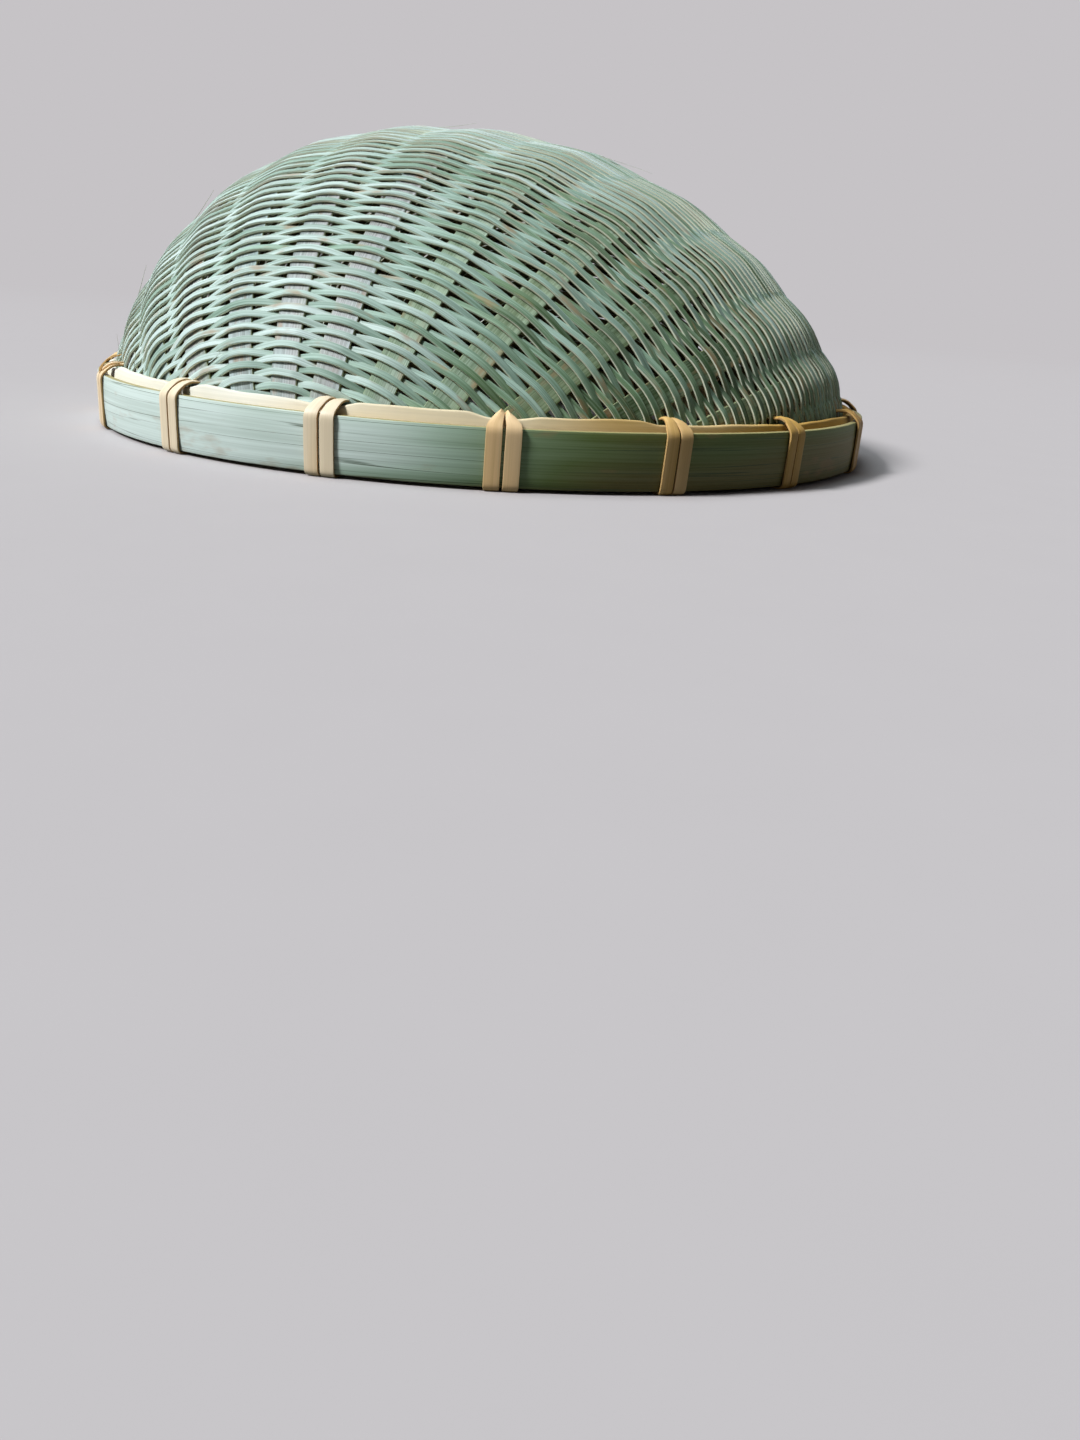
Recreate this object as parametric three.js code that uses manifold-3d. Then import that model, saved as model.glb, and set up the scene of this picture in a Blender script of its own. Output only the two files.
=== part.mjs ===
// A round-bottomed bamboo draining basket, lying mouth down, in millimetres with +Z up.
//
// Flat ribs run front to back (along Y) and fan out towards the crown. Narrow wefts run side to side
// (along X), over one rib and under the next. The edge of this mat is clamped between an outer hoop, a
// filler strip and an inner hoop, and lashings of split bamboo bind them. The origin is on the surface
// that the lashings stand on, under the middle of the rim.

import * as THREE from 'three';
import { mergeVertices } from 'three/addons/utils/BufferGeometryUtils.js';
import Module from 'manifold-3d';

const wasm = await Module();
wasm.setup();

// Running clearance between two pieces that touch on the real basket
const clearance = 0.3;

// Outer hoop: the green strip with its skin side out
const hoopRadius = 160;
const hoopHeight = 18.3;
const hoopThickness = 3.2;
const hoopBulge = 0.5;

// Filler strip, which stands up behind the outer hoop
const fillerThickness = 3.2;
const fillerRise = 3.5;
const fillerEndGap = 4;

// Inner hoop, whose outer face bellies out towards the mat
const innerHoopHeight = 18.3;
const innerHoopThickness = 3.2;
const innerHoopBulge = 1.1;

// Both hoops are closed by a scarf: two tapered ends that lap each other
const hoopSteps = 72;
const scarfSteps = 5;
const scarfTip = 0.6;
const outerScarfAngle = 165;
const innerScarfAngle = 35;
const fillerJointAngle = -130;

// Bowl of the mat, from the top of the hoops to the crown
const bowlDepth = 95.9;
const bowlFullness = 2.27;
const bowlShoulder = 1.38;
const crownLean = new THREE.Vector2(-11.3, -5);
const leanCurve = 1.3;

// Ribs
const ribWidth = 9.6;
const ribThickness = 0.9;
const ribRimPitch = 13.3;
const ribCrownPitch = 29.9;
const ribFan = 0.107;
const ribShift = 4.8;

// Wefts, which are grouped in bands of strips lying side by side
const weftPitch = 2.24;
const weftThickness = 0.6;
const weftsPerBand = 7;

// The mat's cut edge stands this far above the lower edge of the hoops
const edgeSetback = 2;

// Lashings: each is one strip wound twice round the rim and through one hole in the mat
const frontLashingAngles = [-40.75, -17.65, 4.85, 25.75, 46.45, 65.75, 88.75];
const otherLashingCount = 10;
const lashingWidth = 5.5;
const lashingThickness = 0.9;
const lashingNeck = 3.4;
const lashingTail = 9;

// Fineness of the curves that the strips follow
const ribLineSamples = 220;
const edgeStep = 0.35;

// Heights and radii that follow from the sizes above
const hoopBottom = lashingThickness + clearance;
const rimHeight = hoopBottom + hoopHeight;
const crownHeight = rimHeight + bowlDepth;
const fillerTop = rimHeight + fillerRise;
const cutHeight = hoopBottom + edgeSetback;
const matHalf = ribThickness / 2 + clearance + weftThickness;
const ringFlat = hoopRadius * (1 - Math.cos(Math.PI / hoopSteps));
const fillerOuter = hoopRadius - hoopThickness - clearance;
const fillerInner = fillerOuter - fillerThickness;
const matRadius = fillerInner - clearance - ringFlat - matHalf;
const matFlat = (weftPitch * weftsPerBand) ** 2 / (8 * hoopRadius);
const innerHoopOuter = matRadius - matHalf - ringFlat - matFlat - clearance;
const innerHoopInner = innerHoopOuter - innerHoopThickness;
const bandPitch = weftPitch * weftsPerBand;
const weftLift = ribThickness / 2 + clearance + weftThickness / 2;

// Lowest height to which the lines of the mat are worked out, well below its cut edge
const lineFloor = cutHeight - 2.5 * bandPitch;

const toRadians = THREE.MathUtils.degToRad;
const lerp = THREE.MathUtils.lerp;

// Joins a row of cross-sections, each a ring of the same number of points, into one closed body
function loft(sections) {
  const sides = sections[0].length;
  const positions = sections.flatMap((ring) => ring.flatMap((point) => point.toArray()));
  const indices = [];
  const quad = (a, b, c, d) => indices.push(a, b, c, a, c, d);
  for (let i = 0; i + 1 < sections.length; i += 1) {
    for (let j = 0; j < sides; j += 1) {
      const next = (j + 1) % sides;
      quad(i * sides + j, i * sides + next, (i + 1) * sides + next, (i + 1) * sides + j);
    }
  }
  const last = (sections.length - 1) * sides;
  for (let j = 1; j + 1 < sides; j += 1) {
    indices.push(0, j + 1, j);
    indices.push(last, last + j, last + j + 1);
  }
  const geometry = new THREE.BufferGeometry();
  geometry.setAttribute('position', new THREE.Float32BufferAttribute(positions, 3));
  geometry.setIndex(indices);
  if (signedVolume(geometry) < 0) {
    geometry.setIndex(indices.reverse());
  }
  return geometry;
}

function signedVolume(geometry) {
  const position = geometry.attributes.position;
  const index = geometry.index;
  const [a, b, c] = [new THREE.Vector3(), new THREE.Vector3(), new THREE.Vector3()];
  let volume = 0;
  for (let i = 0; i < index.count; i += 3) {
    a.fromBufferAttribute(position, index.getX(i));
    b.fromBufferAttribute(position, index.getX(i + 1));
    c.fromBufferAttribute(position, index.getX(i + 2));
    volume += a.dot(b.cross(c)) / 6;
  }
  return volume;
}

// Solid booleans
function toSolid(geometry) {
  const bare = geometry.clone();
  bare.deleteAttribute('normal');
  bare.deleteAttribute('uv');
  const merged = mergeVertices(bare);
  return new wasm.Manifold(new wasm.Mesh({
    numProp: 3,
    vertProperties: new Float32Array(merged.attributes.position.array),
    triVerts: new Uint32Array(merged.index.array),
  }));
}

function toGeometry(solid) {
  const mesh = solid.getMesh();
  const geometry = new THREE.BufferGeometry();
  geometry.setAttribute('position', new THREE.BufferAttribute(mesh.vertProperties, 3));
  geometry.setIndex(new THREE.BufferAttribute(mesh.triVerts, 1));
  return geometry;
}

// A point at a radius and height, at an angle counted from the front (-Y) towards +X
function polar(radius, angle, height) {
  return new THREE.Vector3(radius * Math.sin(angle), -radius * Math.cos(angle), height);
}

// Bowl surface
function riseAt(height) {
  return THREE.MathUtils.clamp((height - rimHeight) / bowlDepth, 0, 1);
}

function bowlRadius(height) {
  return matRadius * (1 - riseAt(height) ** bowlShoulder) ** (1 / bowlFullness);
}

// How much the bowl's radius changes for each millimetre of height
function bowlSlope(height) {
  const rise = Math.min(riseAt(height), 0.9999);
  if (rise === 0) {
    return 0;
  }
  const open = 1 - rise ** bowlShoulder;
  const fall = (bowlShoulder / bowlFullness) * rise ** (bowlShoulder - 1) * open ** (1 / bowlFullness - 1);
  return (-matRadius * fall) / bowlDepth;
}

function leanAt(height) {
  return crownLean.clone().multiplyScalar(riseAt(height) ** leanCurve);
}

function surfaceNormal(x, y, height) {
  const radius = Math.hypot(x, y);
  if (radius < 1e-6) {
    return new THREE.Vector3(0, 0, 1);
  }
  const outward = new THREE.Vector2(x / radius, y / radius);
  const leanRate = leanAt(height + 0.5).sub(leanAt(height - 0.5));
  return new THREE.Vector3(outward.x, outward.y, -(bowlSlope(height) + leanRate.dot(outward))).normalize();
}

// Distance between the ribs, which are drawn together at the rim
function ribPitchAt(height) {
  return ribRimPitch + ((ribCrownPitch - ribRimPitch) * (height - rimHeight)) / bowlDepth;
}

// The line of a rib, from the middle of the bowl to below the rim. Position counts ribs from the middle.
const ribLines = new Map();

function ribLine(position) {
  if (ribLines.has(position)) {
    return ribLines.get(position);
  }
  const spread = position * (1 + ribFan * Math.abs(position));
  const inside = (height) => Math.abs(spread) * ribPitchAt(height) < bowlRadius(height);
  let line = null;
  if (inside(lineFloor)) {
    let low = lineFloor;
    let high = crownHeight;
    while (high - low > 1e-7) {
      const middle = (low + high) / 2;
      if (inside(middle)) {
        low = middle;
      } else {
        high = middle;
      }
    }
    line = { front: [], back: [] };
    for (const [side, name] of [[-1, 'front'], [1, 'back']]) {
      let length = 0;
      let previous = null;
      for (let i = 0; i <= ribLineSamples; i += 1) {
        const height = lerp(low, lineFloor, (i / ribLineSamples) ** 2);
        const x = spread * ribPitchAt(height);
        const y = side * Math.sqrt(Math.max(bowlRadius(height) ** 2 - x * x, 0));
        const lean = leanAt(height);
        const point = new THREE.Vector3(x + lean.x, y + lean.y, height);
        length += previous ? point.distanceTo(previous) : 0;
        line[name].push({ length, x, y, height });
        previous = point;
      }
    }
  }
  ribLines.set(position, line);
  return line;
}

// A place on the mat's middle surface: how many ribs from the middle, and how far along the rib.
// Null where the mat has run out past its cut edge.
function matPlace(position, along) {
  const line = ribLine(position);
  if (!line) {
    return null;
  }
  const half = along < 0 ? line.front : line.back;
  const length = Math.abs(along);
  let next = half.findIndex((sample) => sample.length >= length);
  if (next < 0) {
    return null;
  }
  next = Math.max(next, 1);
  const [a, b] = [half[next - 1], half[next]];
  const share = (length - a.length) / (b.length - a.length);
  const x = lerp(a.x, b.x, share);
  const y = lerp(a.y, b.y, share);
  const height = lerp(a.height, b.height, share);
  const lean = leanAt(height);
  return {
    point: new THREE.Vector3(x + lean.x, y + lean.y, height),
    normal: surfaceNormal(x, y, height),
  };
}

function raised(place, lift) {
  return place.point.clone().addScaledVector(place.normal, lift);
}

// Half a rib's width, counted in rib positions, where it is crossed this far along
function ribHalfSpan(position, along) {
  const nudge = 0.02;
  const step = 0.5;
  const across = matPlace(position + nudge, along).point.sub(matPlace(position - nudge, along).point);
  const before = matPlace(position, along - step).point;
  const forward = matPlace(position, along + step).point.sub(before).normalize();
  across.addScaledVector(forward, -across.dot(forward));
  return (ribWidth / 2) / (across.length() / (2 * nudge));
}

// As many ribs as the rim has room for. Their positions grow more slowly than their spread, by the fan.
const rimSpread = matRadius / ribRimPitch;
const rimPosition = (Math.sqrt(1 + 4 * ribFan * rimSpread) - 1) / (2 * ribFan);
const ribCount = 2 * Math.floor(rimPosition - 0.5);
const ribOffset = ribShift / ribCrownPitch;
const ribPositions = Array.from({ length: ribCount }, (_, i) => i - (ribCount - 1) / 2 + ribOffset);

// As many bands as the middle of the mat has room for, and where the edges between them cross the ribs
const middleLength = lengthTo(0, cutHeight, 'front');
const bandCount = 2 * Math.floor(middleLength / bandPitch - 0.5) + 1;
const bandEdges = Array.from({ length: bandCount + 1 }, (_, i) => (i - bandCount / 2) * bandPitch);

function ribSides(position, along) {
  if (!matPlace(position, along)) {
    return [position, position];
  }
  const halfSpan = ribHalfSpan(position, along);
  return [position - halfSpan, position + halfSpan];
}

// Length of a rib's line from the middle of the bowl to a height, on the front or the back half
function lengthTo(position, height, name) {
  const half = ribLine(position)[name];
  const next = half.findIndex((sample) => sample.height <= height);
  const [a, b] = [half[next - 1], half[next]];
  return lerp(a.length, b.length, (a.height - height) / (a.height - b.height));
}

// Ribs: flat strips whose corners lie where the bands' edges cross them, run on past the mat's cut edge.
// Each ring of corners goes round so that the faces fold along the same diagonals as the bands' faces.
function ribGeometry(position) {
  const front = -lengthTo(position, cutHeight, 'front') - bandPitch;
  const back = lengthTo(position, cutHeight, 'back') + bandPitch;
  const crossings = [bandEdges[0] - bandPitch, ...bandEdges, bandEdges.at(-1) + bandPitch];
  const stops = crossings.filter((edge) => edge > front && edge < back);
  return loft(stops.map((along) => {
    const [left, right] = ribSides(position, along).map((side) => matPlace(side, along));
    return [
      raised(right, -ribThickness / 2),
      raised(left, -ribThickness / 2),
      raised(left, ribThickness / 2),
      raised(right, ribThickness / 2),
    ];
  }));
}

// Weft bands: each passes over one rib and under the next, and the next band does the opposite
function bandStations(band) {
  const edges = [bandEdges[band] + clearance / 2, bandEdges[band + 1] - clearance / 2];
  const stations = [];
  ribPositions.forEach((position, rib) => {
    const sides = edges.map((edge) => ribSides(position, edge));
    const lift = (band + rib) % 2 === 0 ? weftLift : -weftLift;
    stations.push({ spots: [sides[0][0], sides[1][0]], lift });
    stations.push({ spots: [sides[0][1], sides[1][1]], lift });
  });
  const outermost = Math.max(Math.abs(stations[0].spots[0]), stations.at(-1).spots[0]);
  for (let past = edgeStep; past < ribCount / 2; past += edgeStep) {
    const spot = outermost + past;
    stations.unshift({ spots: [-spot, -spot], lift: 0 });
    stations.push({ spots: [spot, spot], lift: 0 });
  }
  return stations.map(({ spots, lift }) => ({
    places: spots.map((spot, i) => matPlace(spot, edges[i])),
    lift,
  }));
}

function bandGeometry(band) {
  const stations = bandStations(band);
  const usable = ({ places }) => places.every((place) => place !== null);
  const buried = ({ places }) => places.every((place) => place.point.z < cutHeight - clearance);
  const middle = Math.floor(stations.length / 2);
  let first = middle;
  while (usable(stations[first - 1]) && !buried(stations[first])) {
    first -= 1;
  }
  let last = middle;
  while (usable(stations[last + 1]) && !buried(stations[last])) {
    last += 1;
  }
  return loft(stations.slice(first, last + 1).map(({ places, lift }) => [
    raised(places[0], lift - weftThickness / 2),
    raised(places[1], lift - weftThickness / 2),
    raised(places[1], lift + weftThickness / 2),
    raised(places[0], lift + weftThickness / 2),
  ]));
}

// Lashings
const passHeight = fillerTop + clearance + lashingThickness / 2;
const lashingOuter = hoopRadius + clearance + lashingThickness / 2;
const lashingInner = innerHoopInner - clearance - lashingThickness / 2;
const shoulderHeight = rimHeight + lashingThickness;
const wrapOffset = (lashingWidth + clearance) / 2;
const neckOffset = (lashingNeck + clearance) / 2;
const neckInner = matRadius - matHalf - 2 * clearance;
const neckOuter = fillerInner;
const holeBottom = rimHeight;
const holeTop = passHeight + lashingThickness / 2 + clearance;
const holeWidth = 2 * (lashingNeck + 3 * clearance);

// Stops of one lashing's path: radius, height, sideways offset and width
function lashingPath() {
  const floor = lashingThickness / 2;
  const overTheTop = (side) => [
    [lashingInner, shoulderHeight, side * wrapOffset, lashingWidth],
    [neckInner, passHeight, side * neckOffset, lashingNeck],
    [neckOuter, passHeight, side * neckOffset, lashingNeck],
    [fillerOuter, passHeight, side * wrapOffset, lashingWidth],
    [lashingOuter, shoulderHeight, side * wrapOffset, lashingWidth],
    [lashingOuter, floor, side * wrapOffset, lashingWidth],
  ];
  return [
    [lashingInner, shoulderHeight - lashingTail, -wrapOffset, lashingWidth],
    ...overTheTop(-1),
    [lashingInner, floor, -wrapOffset, lashingWidth],
    [lashingInner, shoulderHeight - lashingTail - 2 * clearance, wrapOffset, lashingWidth],
    ...overTheTop(1),
    [lashingInner + lashingThickness + clearance, floor, wrapOffset, lashingWidth],
  ];
}

// Direction across the strip's thickness at each stop, lengthened at corners so the thickness stays even
function mitres(path) {
  const flat = path.map(([radius, height]) => new THREE.Vector2(radius, height));
  return flat.map((stop, i) => {
    const before = stop.clone().sub(flat[Math.max(i - 1, 0)]).normalize();
    const after = flat[Math.min(i + 1, flat.length - 1)].clone().sub(stop).normalize();
    const from = before.length() > 0 ? before : after;
    const to = after.length() > 0 ? after : before;
    const across = from.clone().add(to).normalize().rotateAround(new THREE.Vector2(), Math.PI / 2);
    const square = from.clone().rotateAround(new THREE.Vector2(), Math.PI / 2);
    return across.multiplyScalar(1 / across.dot(square));
  });
}

function lashingGeometry(angle) {
  const path = lashingPath();
  const across = mitres(path);
  return loft(path.map(([radius, height, offset, width], i) => {
    const corner = (side, face) => polar(
      radius + (face * across[i].x * lashingThickness) / 2,
      angle + (offset + (side * width) / 2) / hoopRadius,
      height + (face * across[i].y * lashingThickness) / 2,
    );
    return [corner(-1, -1), corner(1, -1), corner(1, 1), corner(-1, 1)];
  }));
}

// The lashings not spaced by hand at the front share the rest of the rim evenly
const restOfRim = 360 + frontLashingAngles[0] - frontLashingAngles.at(-1);
const otherLashingAngles = Array.from(
  { length: otherLashingCount },
  (_, i) => frontLashingAngles.at(-1) + (restOfRim * (i + 1)) / (otherLashingCount + 1),
);
const lashingAngles = [...frontLashingAngles, ...otherLashingAngles].map((angle) => toRadians(angle));

// Hole through the mat for both turns of one lashing
function lashingHole(angle) {
  const depth = 6 * matHalf;
  const block = new THREE.BoxGeometry(holeWidth, depth, holeTop - holeBottom);
  block.translate(0, -bowlRadius(passHeight), (holeBottom + holeTop) / 2);
  block.rotateZ(angle);
  return toSolid(block);
}

// Cuts the mat's pieces at its lower edge and round the lashings
const belowTheCut = new THREE.BoxGeometry(3 * hoopRadius, 3 * hoopRadius, crownHeight);
belowTheCut.translate(0, 0, cutHeight - crownHeight / 2);
const waste = lashingAngles.reduce((cut, angle) => cut.add(lashingHole(angle)), toSolid(belowTheCut));

function trimmed(geometry) {
  return toGeometry(toSolid(geometry).subtract(waste));
}

// Hoops
function hoopSection(angle, inner, outer, low, high, bulge) {
  const section = [
    polar(inner, angle, low),
    polar(outer - bulge, angle, low),
    polar(outer - bulge, angle, high),
    polar(inner, angle, high),
  ];
  if (bulge > 0) {
    section.splice(2, 0, polar(outer, angle, (low + high) / 2));
  }
  return section;
}

function scarfedHoop(inner, thickness, height, bulge, jointAngle) {
  const sections = [];
  for (let step = 0; step <= hoopSteps + scarfSteps; step += 1) {
    const angle = toRadians(jointAngle) + (2 * Math.PI * step) / hoopSteps;
    const startShare = step / scarfSteps;
    const endShare = (step - hoopSteps) / scarfSteps;
    const lapSpan = thickness - clearance - 2 * scarfTip;
    const outerEdge = startShare <= 1 ? scarfTip + lapSpan * startShare : thickness;
    const innerEdge = endShare >= 0 ? scarfTip + clearance + lapSpan * endShare : 0;
    const crowned = startShare > 1 ? (bulge * (outerEdge - innerEdge)) / thickness : 0;
    const top = hoopBottom + height;
    sections.push(hoopSection(angle, inner + innerEdge, inner + outerEdge, hoopBottom, top, crowned));
  }
  return evenSections(sections);
}

// Gives every section the same number of points, so that they can be joined
function evenSections(sections) {
  const most = Math.max(...sections.map((section) => section.length));
  return loft(sections.map((section) => {
    if (section.length === most) {
      return section;
    }
    const middle = section[1].clone().add(section[2]).multiplyScalar(0.5);
    return [section[0], section[1], middle, section[2], section[3]];
  }));
}

function fillerGeometry() {
  const start = toRadians(fillerJointAngle);
  const sweep = 2 * Math.PI - fillerEndGap / fillerOuter;
  return loft(Array.from({ length: hoopSteps + 1 }, (_, step) => (
    hoopSection(start + (sweep * step) / hoopSteps, fillerInner, fillerOuter, hoopBottom, fillerTop, 0)
  )));
}

// Finishes
function bamboo(color, roughness) {
  return new THREE.MeshStandardMaterial({ color, roughness, metalness: 0 });
}

const greenSkin = bamboo(0x7f9c8a, 0.45);
const paleSplit = bamboo(0xd9c39a, 0.6);
const ribGreen = bamboo(0x9fb39a, 0.55);
const weftGreen = bamboo(0x8fa79b, 0.55);
const lashingCream = bamboo(0xcdb183, 0.5);

// Assembly
const basket = new THREE.Group();

function addPiece(name, geometry, material) {
  const piece = new THREE.Mesh(geometry, material);
  piece.name = name;
  basket.add(piece);
}

const numbered = (stem, index) => `${stem}_${String(index + 1).padStart(2, '0')}`;

addPiece(
  'outer_hoop',
  scarfedHoop(hoopRadius - hoopThickness, hoopThickness, hoopHeight, hoopBulge, outerScarfAngle),
  greenSkin,
);
addPiece('filler_strip', fillerGeometry(), paleSplit);
addPiece(
  'inner_hoop',
  scarfedHoop(innerHoopInner, innerHoopThickness, innerHoopHeight, innerHoopBulge, innerScarfAngle),
  greenSkin,
);
ribPositions.forEach((position, i) => {
  addPiece(numbered('rib', i), trimmed(ribGeometry(position)), ribGreen);
});
for (let band = 0; band < bandCount; band += 1) {
  addPiece(numbered('weft_band', band), trimmed(bandGeometry(band)), weftGreen);
}
lashingAngles.forEach((angle, i) => {
  addPiece(numbered('lashing', i), lashingGeometry(angle), lashingCream);
});

export default basket;
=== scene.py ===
"""A round-bottomed bamboo draining basket, lying mouth down.

The lashings stand on z = 0, the ribs run along Y and the wefts along X. Sizes at the top are in
millimetres, and meshes are made in metres.
"""

import math

import bmesh
import bpy
import numpy as np
from mathutils import Matrix, Vector


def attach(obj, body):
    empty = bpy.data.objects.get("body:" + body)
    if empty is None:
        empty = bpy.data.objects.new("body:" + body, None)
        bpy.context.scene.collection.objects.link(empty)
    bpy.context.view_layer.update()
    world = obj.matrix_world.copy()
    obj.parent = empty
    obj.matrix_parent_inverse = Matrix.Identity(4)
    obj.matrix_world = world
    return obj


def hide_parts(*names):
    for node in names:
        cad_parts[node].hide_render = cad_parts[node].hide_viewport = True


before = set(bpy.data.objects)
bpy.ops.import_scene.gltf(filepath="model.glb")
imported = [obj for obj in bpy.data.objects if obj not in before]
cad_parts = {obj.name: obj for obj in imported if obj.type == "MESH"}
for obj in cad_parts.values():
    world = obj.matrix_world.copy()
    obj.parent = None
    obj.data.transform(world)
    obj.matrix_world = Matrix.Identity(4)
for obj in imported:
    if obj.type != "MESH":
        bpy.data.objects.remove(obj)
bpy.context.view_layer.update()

MM = 0.001

# Outer hoop
HOOP_RADIUS = 160.0
HOOP_HEIGHT = 18.3
HOOP_THICKNESS = 3.2
HOOP_BULGE = 0.5
HOOP_BOTTOM = 1.2
HOOP_TOP = HOOP_BOTTOM + HOOP_HEIGHT
HOOP_STATIONS = 386
# The outer hoop is palest at this angle and greener and darker away from it: partly its own tone, partly
# painted light and shade
HOOP_PALEST = -25.0  # degrees from -Y towards +X

# Filler strip behind the outer hoop
FILLER_OUTER = 156.5
FILLER_THICKNESS = 3.2
FILLER_JOINT = -130.0  # degrees
FILLER_GAP = 4.0
FILLER_LEAN = 1.6
FILLER_STEPS = 900

# Inner hoop
INNER_OUTER = 149.15
INNER_THICKNESS = 3.2
INNER_BULGE = 1.0
INNER_PALEST = 80.0

# Scarf joints of the hoops, with their angles in degrees
OUTER_SCARF = 165.0
INNER_SCARF = 35.0
SCARF_SWEEP = 25.0
TIP_ROOM = 0.15  # how much sooner each tapered end stops
SCARF_TIP = 0.6
SCARF_GAP = 0.3

# Bowl of the mat
MAT_RADIUS = 151.3
BOWL_DEPTH = 95.9
BOWL_FULLNESS = 2.27  # powers that give the profile its full sides
BOWL_SHOULDER = 1.38
CROWN_LEAN = np.array([-11.3, -5.0])  # how far the crown lies off the middle
LEAN_CURVE = 1.3  # power by which the lean grows with height
CUT_HEIGHT = 3.2
HIDDEN_REACH = 40.0  # how far the mat's lines run on below the cut

# Ribs
RIB_COUNT = 12
RIB_WIDTH = 9.6
RIB_THICKNESS = 0.9
RIB_EDGE = 0.2
RIM_PITCH = 13.3  # from rib to rib in the middle
CROWN_PITCH = 29.9
RIB_FAN = 0.107  # how much wider the pitch gets with every rib from the middle
RIB_OFFSET = 4.8 / CROWN_PITCH
# Shade of each rib from left to right; the rise towards the right is partly the ribs' own tone and
# partly painted shade
RIB_TINTS = [0.1, 0.25, 0.08, 0.32, 0.2, 0.3, 0.34, 0.47, 0.62, 0.82, 0.92, 0.8]

# Wefts
WEFT_PITCH = 2.24
WEFT_WIDTH = 2.24
WEFT_THICKNESS = 0.92
WEFT_EDGE = 0.12
WEFTS_PER_BAND = 7
BAND_COUNT = 25
WEFT_LIFT = 1.0  # off the mat's middle surface, over a rib
WEFT_ARCH = 0.25  # and more than that at the rib's middle
WEFT_PLATEAU = 0.8  # share of a rib over which a weft stays lifted
WEFT_SOFTNESS = 0.35  # how far its way from rib to rib is eased
WEFT_RISE = 0.3  # how far it moves towards the crown where it is lifted
WEFT_ROLL = 0.09  # how far it is rolled towards the crown in front
STEP = 1 / 20  # from point to point of a weft, in ribs
WIDEST = 7.4  # from the middle to the last points, in ribs
FEWEST_POINTS = 8

# Lashings in front, spaced one by one: angle from -Y towards +X, width of the strip, gap between its two
# turns, how far they lean, how far their tops are drawn aside, how far apart these are and how wide
FRONT_LASHINGS = [
    (-40.75, 4.6, 0.6, 0.3, 1.0, 1.6, 3.0),
    (-17.65, 4.2, 0.65, 0.2, 1.8, 1.9, 3.6),
    (4.85, 4.8, 0.7, 0.2, 2.1, 2.2, 4.0),
    (25.75, 5.1, 1.0, -0.3, 0.2, 1.05, 1.9),
    (46.45, 4.6, 0.5, -0.9, -0.3, 1.7, 3.2),
    (65.75, 4.1, 0.5, -1.0, -0.2, 1.6, 3.0),
    (88.75, 5.2, 0.6, -0.4, -0.6, 1.8, 3.4),
]
OTHER_LASHINGS = 10
LASHING_THICKNESS = 0.85
LASHING_SECTION = np.array([
    (-1.0, -0.35), (-0.95, -1.0), (0.95, -1.0), (1.0, -0.35), (1.0, 0.4), (0.95, 0.88), (0.6, 1.03),
    (0.0, 1.08), (-0.6, 1.03), (-0.95, 0.88), (-1.0, 0.4),
])
# Shades of the front lashings from left to right; they darken towards the right, partly their own tone
# and partly painted shade
LASHING_TINTS = [0.16, 0.08, 0.12, 0.25, 0.42, 0.66, 0.8]
OTHER_LASHING_TINT = 0.45

# Ends that stick out by the lashings: colour, then stops (sideways, radius, rise over the hoop, width)
LOOSE_ENDS = {
    0: [
        (0.85, [(-2.6, 160.4, -0.6, 1.5), (-2.2, 159.2, 3.4, 1.5),
                (-0.8, 155.8, 6.0, 1.3), (0.9, 152.0, 7.4, 0.6)]),
        (0.25, [(1.9, 160.3, -0.4, 1.6), (2.6, 158.6, 2.9, 1.5),
                (3.4, 155.0, 4.3, 1.2), (4.6, 151.4, 5.0, 0.5)]),
        (0.95, [(-0.4, 160.2, 0.2, 1.0), (0.6, 158.4, 4.4, 1.0),
                (2.4, 156.6, 6.2, 0.7), (4.2, 156.2, 6.0, 0.3)]),
    ],
    5: [
        (0.1, [(-1.4, 159.6, 0.6, 2.2), (-3.0, 157.4, 3.0, 2.0), (-4.3, 154.6, 4.2, 1.5)]),
    ],
    6: [
        (0.98, [(-1.2, 160.2, 0.0, 2.0), (-1.7, 158.6, 2.3, 1.9),
                (-0.4, 156.8, 3.8, 1.6), (1.6, 157.0, 3.1, 0.8)]),
        (0.15, [(-1.8, 159.4, 0.8, 1.7), (-4.0, 157.6, 2.4, 1.3), (-6.2, 155.4, 3.1, 0.6)]),
    ],
}

LOOSE_SECTION = np.array([(-1.0, -0.3), (0.0, -1.0), (1.0, -0.3), (0.9, 0.6), (0.0, 1.0), (-0.9, 0.6)])

# Fibres that stand off the weave: weft, place in ribs from the left, length in ribs, rise, drift
LOOSE_FIBRES = [
    (10, 3.3, 0.5, 2.4, 1.5), (23, 1.1, 0.6, 3.0, -2.0), (34, 0.4, 0.5, 3.2, 2.5),
    (47, 0.9, 0.7, 3.0, 3.0), (58, 2.2, 0.6, 2.6, -2.0), (72, 5.4, 0.5, 2.2, 2.0),
    (84, 6.8, 0.8, 2.5, 2.5), (40, 6.2, 0.4, 2.0, -1.5), (66, 9.3, 0.5, 2.4, 2.0),
    (92, 3.0, 0.7, 2.4, -2.5), (118, 7.5, 0.6, 2.4, 2.0), (140, 4.1, 0.5, 2.2, 2.0),
]

# Rise of the filler strip over the hoop, at either end of each stretch from one lashing in front to the
# next, and of the stretch after the last of them
FRONT_RISES = [
    (3.7, 2.8), (4.1, 2.5), (4.2, 3.4), (3.2, 3.3), (2.2, 2.0), (1.9, 2.1), (1.6, 1.4),
]

# Numbers that give each kind of strip a grain of its own. A weft's is its place in the weave.
RIB_GRAIN = 500.0
OUTER_HOOP_GRAIN = 601.0
INNER_HOOP_GRAIN = 605.0
FILLER_GRAIN = 611.0
LASHING_GRAIN = 700.0
LOOSE_END_GRAIN = 740.0
FIBRE_GRAIN = 900.0

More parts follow.
